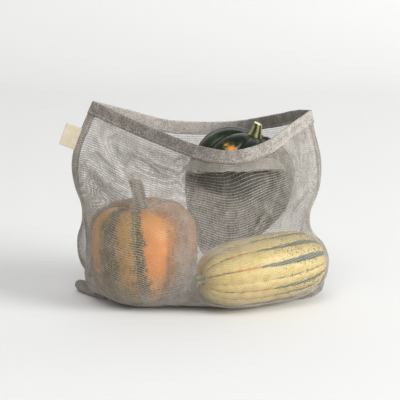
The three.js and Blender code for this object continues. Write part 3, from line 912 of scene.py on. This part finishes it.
class Recipe:
    """A material's nodes, with a short name for each kind that is used here. What they are fed
    is a Value or a number, and a colour is one that tint() takes."""

    def __init__(self, name, roughness):
        self.material = bpy.data.materials.new(name)
        self.material.use_nodes = True
        self.tree = self.material.node_tree
        self.shader = self.tree.nodes["Principled BSDF"]
        self.shader.inputs["Roughness"].default_value = roughness
        self.place = Value(self, self.node("ShaderNodeTexCoord").outputs["Object"])

    def node(self, kind, *values, **settings):
        """A new node with its settings, and with its first sockets fed."""
        node = self.tree.nodes.new(kind)
        for name, setting in settings.items():
            setattr(node, name, setting)
        for socket, value in zip(node.inputs, values):
            self.feed(socket, value)
        return node

    def feed(self, socket, value):
        if isinstance(value, Value):
            self.tree.links.new(value.socket, socket)
        else:
            socket.default_value = value

    def feed_named(self, node, **values):
        for name, value in values.items():
            self.feed(node.inputs[name.replace("_", " ").title()], value)

    def math(self, operation, *values):
        return Value(self, self.node("ShaderNodeMath", *values, operation=operation).outputs[0])

    def noise(self, scale, detail=3.0, source=None, roughness=0.55):
        node = self.node("ShaderNodeTexNoise", source or self.place)
        self.feed_named(node, scale=scale, detail=detail, roughness=roughness)
        return Value(self, node.outputs["Fac"])

    def ramp(self, value, *stops, interpolation="LINEAR"):
        node = self.node("ShaderNodeValToRGB", value)
        node.color_ramp.interpolation = interpolation
        elements = node.color_ramp.elements
        while len(elements) < len(stops):
            elements.new(0.5)
        for element, (position, colour) in zip(elements, stops):
            element.position = position
            element.color = tint(colour)
        return Value(self, node.outputs["Color"])

    def mix(self, share, *colours):
        node = self.node("ShaderNodeMix", share, data_type="RGBA")
        for socket, colour in zip(node.inputs[6:8], colours):
            self.feed(socket, colour if isinstance(colour, Value) else tint(colour))
        return Value(self, node.outputs[2])

    def stored(self, name):
        """The three numbers that a piece keeps with its points, as separate values."""
        attribute = self.node("ShaderNodeAttribute", attribute_name=name)
        vector = Value(self, attribute.outputs["Vector"])
        return [Value(self, part) for part in self.node("ShaderNodeSeparateXYZ", vector).outputs]

    def joined(self, *values):
        return Value(self, self.node("ShaderNodeCombineXYZ", *values).outputs[0])

    def distance(self, place, point):
        node = self.node("ShaderNodeVectorMath", place, point, operation="DISTANCE")
        return Value(self, node.outputs["Value"])

    def step(self, value, start, end):
        """Rises from 0 to 1 as the value goes from start to end."""
        node = self.node("ShaderNodeMapRange", value, start, end, 0.0, 1.0,
                         interpolation_type="SMOOTHSTEP")
        return Value(self, node.outputs[0])

    def finish(self, height, strength, distance, **shader_inputs):
        """The material, with its relief and what else its shader is fed."""
        node = self.node("ShaderNodeBump")
        self.feed_named(node, strength=strength, distance=distance, height=height)
        self.feed_named(self.shader, Normal=Value(self, node.outputs[0]), **shader_inputs)
        return self.material


def yarn_material(name, dark, light):
    """Soft spun cotton: fine fibres, and slow changes of tone from yarn to yarn."""
    r = Recipe(name, 0.95)
    fibres = r.noise(1400.0, 2.0)
    colour = r.ramp(fibres * 0.6 + r.noise(90.0) * 0.4, (0.36, dark), (0.64, light))
    return r.finish(fibres, 0.4, 0.0002, Base_Color=colour, Sheen_Weight=0.1)


def dense_material(name, dark, middle, light, painted_light_along=0.0):
    """Several layers of the cloth sewn together: a close plain weave of heathered yarns, with light and
    shade painted along the strip by the last argument: the colour grows lighter by it towards the
    strip's right end, and darker when it is negative."""
    r = Recipe(name, 0.95)
    along, around, _ = r.stored("weave")
    per_mm = math.pi / WEAVE_PITCH
    weave = r.math("SINE", along * per_mm) * r.math("SINE", around * per_mm)
    speckle = r.noise(800.0, roughness=0.7)
    shade = speckle * 0.74 + r.noise(120.0) * 0.26 + weave * 0.035
    # painted light and shade: the tone shifts along the strip as the light from the right falls on it
    shade += (r.step(along, 120.0, 260.0) - 0.5) * painted_light_along
    colour = r.ramp(shade, (0.36, dark), (0.50, middle), (0.62, light))
    return r.finish(weave * 0.35 + speckle, 0.7, 0.0009, Base_Color=colour,
                    Roughness=r.ramp(speckle, (0.3, 1.0), (0.7, 0.85)), Sheen_Weight=0.1)


def tape_material():
    """Cream woven tape with fine ribs across it."""
    r = Recipe("label_tape", 0.85)
    ribs, threads = (r.math("SINE", place * (2 * math.pi / pitch))
                     for place, pitch in zip(r.stored("weave"), TAPE_PITCHES))
    tone = r.noise(160.0, 4.0)
    colour = r.ramp(tone, (0.3, (192, 180, 156)), (0.7, (210, 198, 174)))
    return r.finish((ribs + threads * 0.5) * 0.2 + tone, 0.5, 0.0004, Base_Color=colour,
                    Sheen_Weight=0.1)


def own_turn(r):
    """The turn round a squash's axis, its middle in the front being 0.5, and the height."""
    x, y, height = r.stored("own")
    return r.math("ARCTAN2", y, x) / (2 * math.pi), x, y, height


def carnival_turn(angle):
    """Where an angle seen from the front lies on the carnival's turn, from 0 to 1."""
    return (angle + CARNIVAL_FRONT) / 360 + 0.5


def carnival_material():
    """Orange lobes on the right, green and yellow ones on the left, all speckled where two
    colours meet."""
    r = Recipe("carnival_skin", 0.45)
    turn, x, y, height = own_turn(r)
    sway = (r.noise(45.0) - 0.5) * 0.05
    share = turn + 0.5 + (sway + (height - 0.2) * CARNIVAL_LEAN)
    upper, lower = (r.ramp(share, *((carnival_turn(angle), orange) for angle, orange in lobes))
                    for lobes in (CARNIVAL_UPPER, CARNIVAL_LOWER))
    rough = r.noise(60.0)
    down = r.step(height + (rough - 0.5) * 0.5, 0.06, -0.32)
    streaks = r.noise(1.0, 4.0, r.joined(x * 40.0, y * 40.0, height * 9.0))
    specks = r.noise(520.0, roughness=0.75)
    grain = streaks * 0.4 + specks * 0.6
    mask = r.step(r.mix(down, upper, lower) + (grain - 0.5) * 2.6, 0.28, 0.72)
    # Painted light: a brighter, purer orange at middle height on the front right, where the light falls
    # on the skin.
    painted_light_spot = r.step(r.math("ABSOLUTE", share - carnival_turn(18)), 0.06, 0.02)
    middle = r.step(r.math("ABSOLUTE", height - 0.06), 0.30, 0.05)
    orange = r.mix(painted_light_spot * middle, (226, 144, 32), (250, 144, 6))
    for start, end, colour in ((8, 0, (180, 134, 44)), (-46, -56, (236, 160, 50))):
        orange = r.mix(r.step(share, carnival_turn(start), carnival_turn(end)), orange, colour)
    orange = r.mix(rough * 0.4, orange, (212, 148, 44))
    green = r.ramp(rough, (0.35, (66, 70, 44)), (0.65, (102, 102, 56)))
    return r.finish(r.noise(700.0) + r.noise(120.0, 2.0) * 1.5, 0.35, 0.0007,
                    Base_Color=r.mix(mask, green, orange),
                    Roughness=r.ramp(specks, (0.3, 0.38), (0.7, 0.55)))


def acorn_material():
    """Very dark waxy green with lighter flecks, and one orange patch with a yellow rim."""
    r = Recipe("acorn_skin", 0.4)
    r.shader.inputs["Specular IOR Level"].default_value = 0.35
    own = r.joined(*r.stored("own"))
    blur = r.noise(70.0, 4.0)
    flecks = r.noise(260.0, roughness=0.7)
    colour = r.ramp(blur, (0.3, (8, 16, 5)), (0.5, (18, 30, 11)), (0.72, (44, 56, 26)))
    colour = r.mix(r.step(flecks, 0.68, 0.76), colour, (86, 92, 52))
    for angle, out, up, radius, strength in ACORN_SPOTS:
        turn = math.radians(angle)
        gap = r.distance(own, (out * math.cos(turn), out * math.sin(turn), up)) / radius
        ragged = gap + (1.0 - strength) + (blur - 0.5) * 1.5 + (flecks - 0.5) * 1.7
        patch = r.ramp(ragged * 0.5, (0.0, (236, 158, 88)), (0.28, (214, 138, 56)),
                       (0.44, (138, 108, 34)), (0.62, (60, 66, 22)))
        colour = r.mix(r.step(ragged, 1.4, 0.8), colour, patch)
    return r.finish(r.noise(500.0) + blur * 2.0, 0.25, 0.0007, Base_Color=colour,
                    Roughness=r.ramp(blur, (0.3, 0.22), (0.7, 0.36)))


def delicata_material():
    """Pale yellow, with a stripe in each groove: thin and orange at the stem end, broad and
    grey-green with loose flecks at the other."""
    r = Recipe("delicata_skin", 0.42)
    turn, _, _, height = own_turn(r)
    lobes = DELICATA.ribs
    gap = r.math("PINGPONG", turn * lobes, 0.5) * 2.0
    stripe = r.ramp(turn + 0.5, *((lobe / lobes, breadth) for lobe, breadth
                                  in enumerate(DELICATA_STRIPES)), interpolation="CONSTANT")
    down = r.math("SUBTRACT", 0.75, height) / 1.45
    width = r.ramp(down, (0.0, 0.11), (0.35, 0.13), (0.55, 0.25), (0.8, 0.42), (1.0, 0.36))
    rough = r.noise(150.0, 4.0, roughness=0.65)
    flecks = r.noise(430.0, 2.0)
    edge = width * stripe
    inside = r.step(edge - (gap + (rough - 0.5) * 0.34), -0.05, 0.05)
    near = r.step(edge * 5.0 - gap, -0.05, 0.1)
    loose = near * r.step(down, 0.42, 0.62) * r.step(flecks, 0.58, 0.63)
    mask = r.math("MAXIMUM", inside, loose)
    stripes = r.ramp(down + (r.noise(40.0, 2.0) - 0.5) * 0.5, (0.1, (150, 110, 84)),
                     (0.22, (206, 118, 44)), (0.38, (206, 138, 62)), (0.46, (104, 110, 90)),
                     (0.9, (84, 98, 84)))
    skin = r.ramp(rough, (0.3, (212, 182, 96)), (0.5, (226, 202, 120)), (0.72, (234, 214, 148)))
    skin = r.mix(r.step(r.noise(26.0, 2.0), 0.55, 0.7), skin, (218, 192, 106))
    return r.finish(flecks + mask * -0.4, 0.3, 0.0006, Base_Color=r.mix(mask, skin, stripes),
                    Roughness=r.ramp(rough, (0.3, 0.36), (0.7, 0.5)))


def stem_material(name, dark, middle, light):
    """Woody ridged stem: streaks along it, pale on the crests."""
    r = Recipe(name, 0.7)
    along, around, crest = r.stored("own")
    streaks = r.noise(1.0, 4.0, r.joined(along * 0.12, around * 6.0, 0.0))
    grain = r.noise(330.0, 4.0)
    shade = streaks * 0.4 + grain * 0.3 + crest * 0.3
    colour = r.ramp(shade, (0.34, dark), (0.5, middle), (0.66, light))
    return r.finish(streaks + grain, 0.6, 0.001, Base_Color=colour)


def cut_material(name, core, rim):
    """The cut top of a stem: pale pith with darker fibres."""
    r = Recipe(name, 0.75)
    fibres = r.noise(900.0)
    return r.finish(fibres, 0.5, 0.0006, Base_Color=r.ramp(fibres, (0.35, rim), (0.6, core)))


# -------------------- squash pieces

def make_squash(name, squash, slot, material):
    rows, columns = 96, 180
    polar, around = np.meshgrid(np.linspace(0, math.pi, rows),
                                np.linspace(0, 2 * math.pi, columns, endpoint=False), indexing="ij")
    skin = skin_points(squash, polar, around)
    turn = lobe_turn(squash, polar, around)
    dents = (np.sin(3 * turn + 2 * polar) + np.sin(5 * turn - 4 * polar + 1)
             + np.sin(8 * turn + 7 * polar + 2)) * np.sin(polar)
    skin = skin - unit(skin - squash.centre) * (SKIN_DENTS * (dents + 3) / 2)[..., None]
    faces = grid_faces(rows, columns)[:, ::-1]
    piece = new_mesh(name + "_skin", skin.reshape(-1, 3), faces, material, slot)
    own = squash.own_space(skin) / 100
    out = np.hypot(own[..., 0], own[..., 1])
    store(piece, "own", np.stack([out * np.cos(turn), out * np.sin(turn), own[..., 2]], -1))


def make_stem(name, squash, slot, bark, top_cut):
    """A ridged stem with a cut top that is a little hollow and oblique."""
    stem = squash.stem
    sides, rings = 60, 28
    turn = 2 * math.pi * np.arange(sides) / sides
    along = np.linspace(0, 1, rings)[:, None]
    radius = np.interp(along, np.linspace(0, 1, len(stem["radii"])), stem["radii"])
    crest = (1 + np.cos(stem["lobes"] * turn + 0.8 * along)) / 2
    small = np.cos(3 * stem["lobes"] * turn + 1)
    radius = radius * (1 - stem["lobe_depth"] * (1 - crest) + 0.02 * small)
    height = stem["base"] + stem["length"] * along + 0.10 * radius * np.cos(turn - 2.2) * along**4
    rim = radius[-1]
    radius = np.vstack([radius, 0.82 * rim, 0.45 * rim])
    height = np.vstack([height, height[-1] + 0.15, height[-1] - 0.5])
    risen = np.vstack([along, [[1.0], [1.0]]])
    x, y = (lean * risen**2 + foot * (1 - risen)
            for lean, foot in zip(stem["lean"], stem.get("foot", (0, 0))))
    local = np.stack([radius * np.cos(turn) + x, radius * np.sin(turn) + y, height], -1)
    points = local.reshape(-1, 3) @ axis_turn(squash.axis, 0).T + squash.centre
    here = (rings + 1) * sides + np.arange(sides)
    centre = np.full(sides, len(points))
    cap = np.stack([here, np.roll(here, -1), centre, centre], -1)
    points = np.vstack([points, points[-sides:].mean(0)])
    faces = np.vstack([grid_faces(rings + 2, sides), cap])
    piece = new_mesh(name + "_stem", points, faces, bark, slot)
    piece.data.materials.append(top_cut)
    on_top = np.arange(len(faces)) >= (rings - 1) * sides
    piece.data.polygons.foreach_set("material_index", on_top.astype(np.int32))
    own = np.zeros((rings + 2, sides, 3))
    own[..., 0] = height
    own[..., 1] = np.sin(turn) + 0.4 * np.cos(2 * turn)
    own[:rings, :, 2] = crest
    store(piece, "own", np.vstack([own.reshape(-1, 3), (0, 0, 0)]))


# -------------------- the studio

def make_studio():
    width, near, far, high, bend = 6.0, -4.0, 2.6, 3.2, 0.9
    arc = [(far - bend + bend * math.sin(a), bend - bend * math.cos(a))
           for a in np.linspace(0, math.pi / 2, 24)]
    profile = [(near, 0.0), *arc, (far, high)]
    points = [(side * width, y, z) for y, z in profile for side in (-1, 1)]
    faces = [(2 * k, 2 * k + 1, 2 * k + 3, 2 * k + 2) for k in range(len(profile) - 1)]
    floor = bpy.data.meshes.new("floor")
    floor.from_pydata(points, [], faces)
    floor.polygons.foreach_set("use_smooth", [True] * len(faces))
    paper = Recipe("paper_sweep", 0.9)
    paper.shader.inputs["Base Color"].default_value = tint((236, 236, 235))
    paper.shader.inputs["Specular IOR Level"].default_value = 0.2
    floor.materials.append(paper.material)
    add_object("floor", floor)


def add_light(name, place, target, size, power):
    light = bpy.data.lights.new(name, "AREA")
    light.shape = "DISK"
    light.size = size
    light.energy = power
    lamp = add_object(name, light)
    lamp.location = place
    lamp.rotation_mode = "QUATERNION"
    lamp.rotation_quaternion = (Vector(target) - Vector(place)).to_track_quat("-Z", "Y")


def light_studio():
    """A large soft light from the right, a weaker one from above the front, and an even pale
    surround."""
    world = bpy.data.worlds.new("studio")
    bpy.context.scene.world = world
    world.use_nodes = True
    background = world.node_tree.nodes["Background"]
    background.inputs["Color"].default_value = (1.0, 1.0, 1.0, 1.0)
    background.inputs["Strength"].default_value = 0.37
    add_light("key", (4.6, -2.3, 2.0), (0, 0, 0.1), 3.4, 325)
    add_light("fill", (-0.6, -2.6, 4.0), (0, 0.1, 0.1), 3.0, 74)
    bpy.context.scene.cycles.denoising_prefilter = "NONE"
    view = bpy.context.scene.view_settings
    view.view_transform = "Standard"
    view.look = "None"


def make_camera():
    elevation = math.radians(12)
    distance, pixel = 1600.0, 1.12       # mm from the aim, and mm for each pixel there
    picture = 400                        # its width in pixels
    aim = np.array([0.0, 30.0, 109.0])
    ahead = np.array([0, math.cos(elevation), -math.sin(elevation)])
    camera = bpy.data.cameras.new("camera")
    camera.sensor_width = 36.0
    camera.lens = camera.sensor_width * (distance / pixel) / picture
    camera.clip_start, camera.clip_end = 0.05, 50
    view = add_object("camera", camera)
    view.location = to_frame(aim - ahead * distance)
    view.rotation_euler = (math.pi / 2 - elevation, 0, 0)
    bpy.context.scene.camera = view


# -------------------- put together

make_camera()
make_studio()
light_studio()

yarn = yarn_material("cotton_yarn", (148, 141, 132), (201, 194, 184))
thread = yarn_material("sewing_thread", (160, 154, 145), (206, 200, 191))
dense = dense_material("dense_cotton", (102, 96, 88), (142, 135, 127), (180, 173, 165))
# The two hems are one cloth. The back hem's inner face is a lighter copy of it, as painted light.
# Painted light and shade also run along both hems: the front one grows lighter towards its lit right
# end, and the back one darker towards its shaded right end.
front_hem = dense_material("front_hem_cotton", (102, 96, 89), (146, 139, 131), (190, 184, 177), 0.10)
back_hem = dense_material("back_hem_cotton", (116, 110, 103), (160, 153, 145), (200, 194, 187), -0.10)
rolled = dense_material("rolled_cotton", (112, 106, 99), (146, 139, 131), (172, 165, 157))

stretched = stretched_cloth()
cloth = fold_cloth(stretched)
net = net_rows(stretched, cloth)
make_net(net, yarn)
make_pleat(stretched, cloth, yarn)
make_hem(cloth, (front_hem, back_hem), thread)
make_seam_bands(net, dense, thread)
make_corner_roll(rolled)
make_label(tape_material())

# Kind, body, slot and skin, the stem's dark, middle and light colours, and its cut's core and rim.
for kind, squash, slot, skin_material, bark, cut in (
        ("carnival", CARNIVAL, "orange_rind", carnival_material,
         ((74, 68, 56), (112, 104, 86), (150, 142, 118)), ((170, 160, 132), (120, 110, 90))),
        ("acorn", ACORN, "green_rind", acorn_material,
         ((34, 38, 22), (100, 101, 58), (190, 185, 130)), ((246, 240, 206), (206, 194, 140))),
        ("delicata", DELICATA, "yellow_rind", delicata_material,
         ((136, 140, 104), (184, 188, 150), (214, 214, 182)), ((196, 196, 156), (150, 148, 108)))):
    make_squash(kind + "_squash", squash, slot, skin_material())
    make_stem(kind + "_squash", squash, slot, stem_material(kind + "_stem", *bark),
              cut_material(kind + "_cut", *cut))
